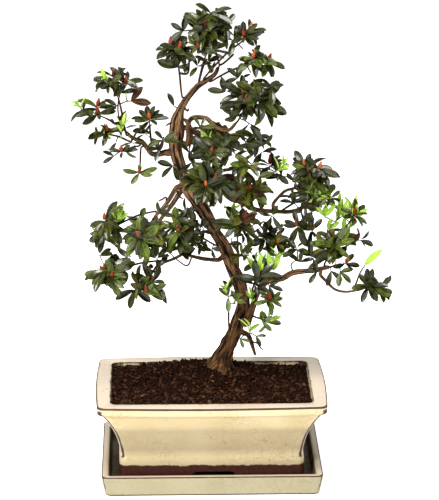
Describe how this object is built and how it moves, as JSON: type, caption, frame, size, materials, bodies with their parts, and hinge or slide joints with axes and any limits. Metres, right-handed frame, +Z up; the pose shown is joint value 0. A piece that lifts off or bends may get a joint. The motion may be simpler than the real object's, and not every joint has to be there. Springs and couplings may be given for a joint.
{
  "type": "azalea bonsai",
  "caption": "Azalea bonsai with a slender twisted trunk and open layers of small leaves, in a glazed rectangular pot on a matching tray.",
  "frame": {"origin": "centre of the tray's flat underside, on the surface it stands on", "axes": "+Z up, +X towards the right of the tree's front, -Y out of its front"},
  "size_m": [0.3656, 0.1891, 0.545],
  "materials": {
    "bark": "rough, peeling",
    "foliage": "leathery, half gloss",
    "pot_glaze": "gloss, crackled",
    "tray_glaze": "gloss",
    "soil": "matt crumbs"
  },
  "bodies": {
    "root": {"apex_back": "foliage", "apex_crown": "foliage", "apex_left": "foliage", "apex_low_right": "foliage", "apex_right": "foliage", "arch_bough": "bark", "back_high": "foliage", "back_high_bough": "bark", "back_left": "foliage", "back_left_bough": "bark", "back_mid": "foliage", "back_mid_bough": "bark", "back_right": "foliage", "centre_far_right": "foliage", "centre_high": "foliage", "centre_low": "foliage", "centre_right": "foliage", "centre_right_bough": "bark", "centre_right_high": "foliage", "centre_right_low": "foliage", "crown_right": "foliage", "dead_stub": "bark", "drop_leaves": "foliage", "left_foot_inner": "foliage", "left_foot_outer": "foliage", "left_hanging": "foliage", "left_inner": "foliage", "left_low": "foliage", "left_low_inner": "foliage", "left_low_outer": "foliage", "left_mid_bough": "bark", "left_near_trunk": "foliage", "left_outer": "foliage", "left_top": "foliage", "left_under": "foliage", "left_upper": "foliage", "low_left_bough": "bark", "low_right_bough": "bark", "mid_right": "foliage", "pot": "pot_glaze", "right_crown": "foliage", "right_dark": "foliage", "right_low": "foliage", "right_tip": "foliage", "right_top": "foliage", "right_under": "foliage", "soil": "soil", "sprout_left": "foliage", "sprout_lower": "foliage", "sprout_right": "foliage", "sprout_upper": "foliage", "tail": "foliage", "tail_twig": "bark", "tray": "tray_glaze", "trunk": "bark", "upper_left_bough": "bark", "upper_right_bough": "bark", "upper_right_branch": "bark"}
  },
  "joints": []
}
